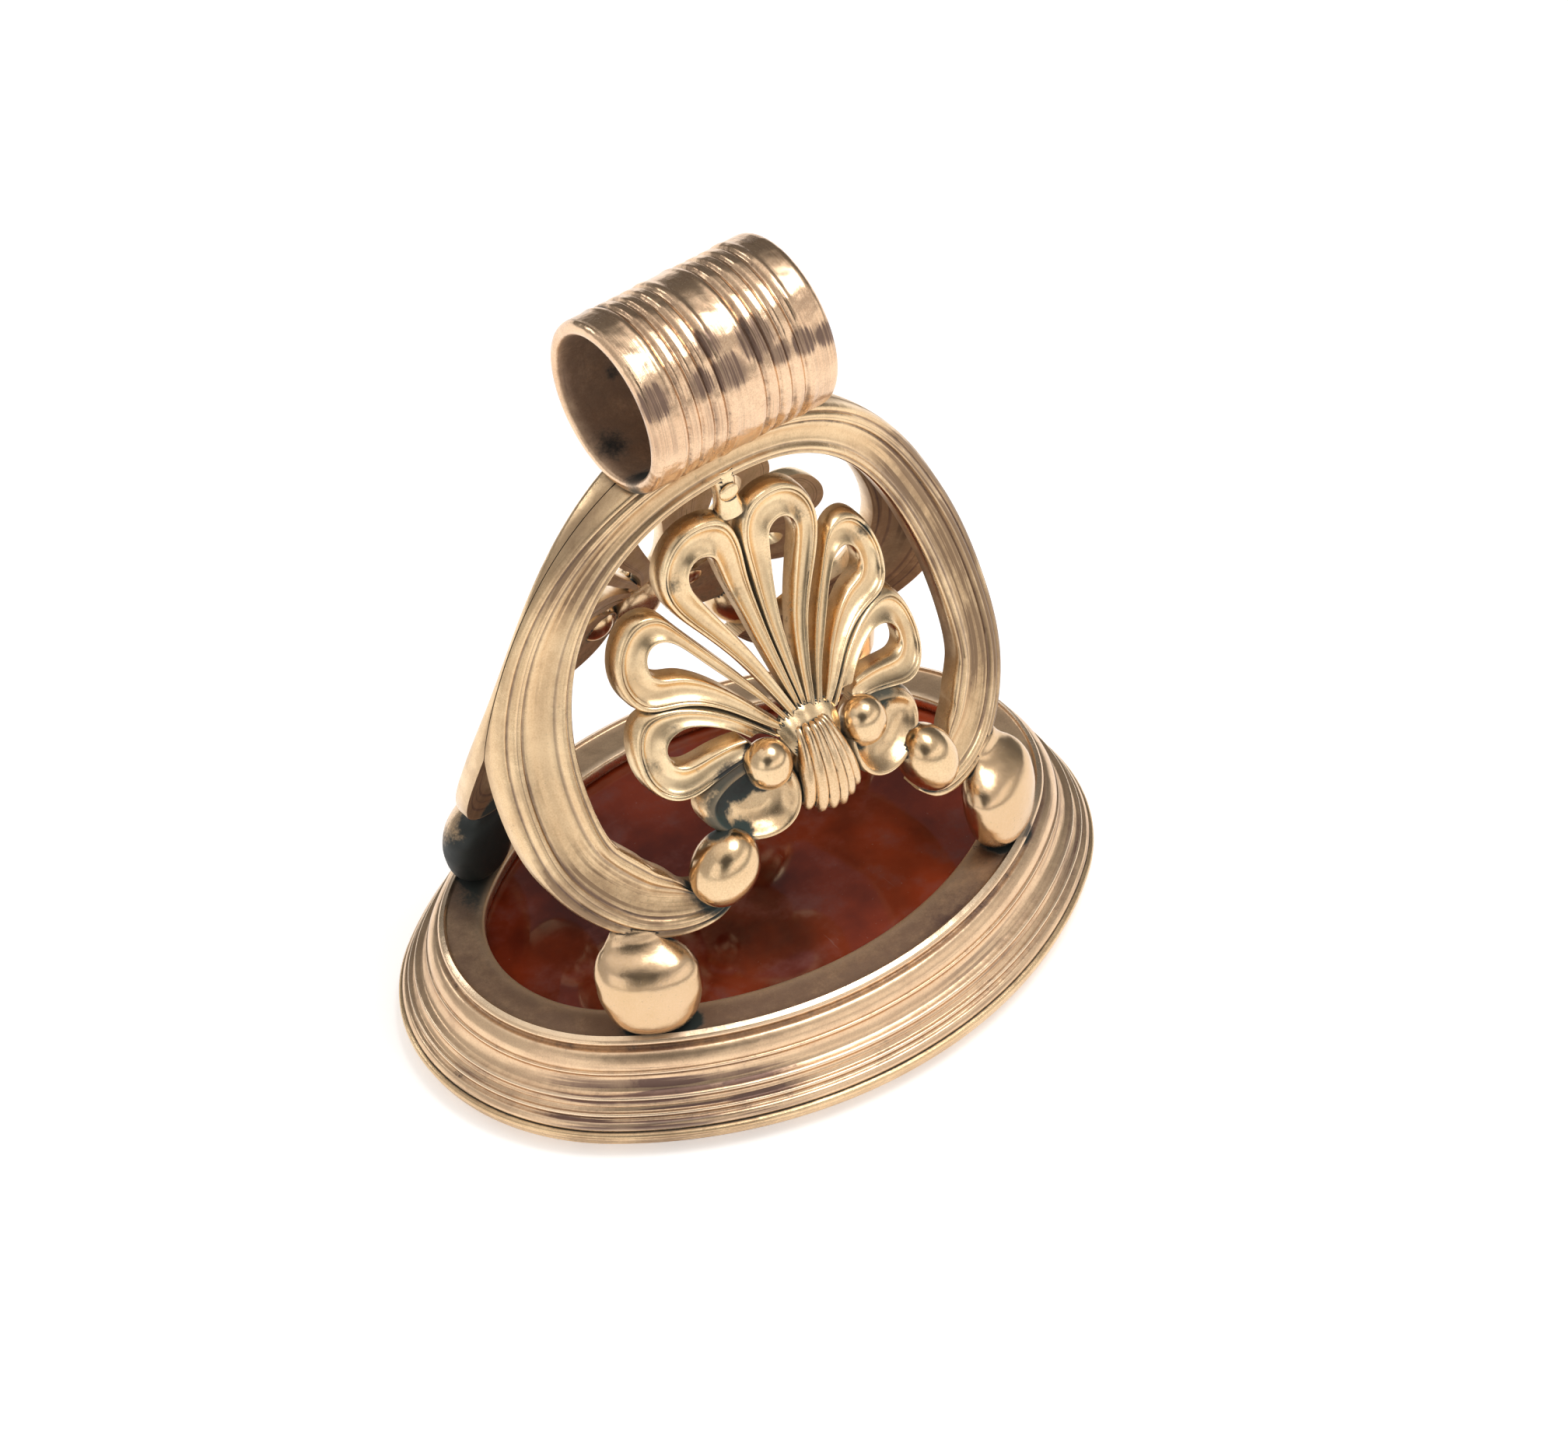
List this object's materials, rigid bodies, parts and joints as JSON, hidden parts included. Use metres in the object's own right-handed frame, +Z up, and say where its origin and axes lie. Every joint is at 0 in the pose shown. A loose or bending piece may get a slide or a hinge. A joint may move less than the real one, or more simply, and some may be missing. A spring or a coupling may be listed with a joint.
{
  "type": "fob seal",
  "caption": "Oval seal stone in a moulded gold base, under two pierced palmette panels that meet at a reeded tube bail.",
  "frame": {"origin": "on the floor, under the middle of the stone's flat face", "axes": "+Z up from the stone to the bail, +X along the oval's long axis and the bail's bore, -Y towards the front panel"},
  "size_m": [0.025, 0.019, 0.0271],
  "materials": {
    "openwork_gold": "polished cast gold with dark dirt in the hollows",
    "base_gold": "polished gold mouldings, dull on the ledge",
    "rim_gold": "polished gold",
    "stone": "polished deep red-brown carnelian"
  },
  "bodies": {
    "root": {"openwork_top": "openwork_gold", "base_moulding": "base_gold", "setting_rim": "rim_gold", "seal_stone": "stone"}
  },
  "joints": []
}
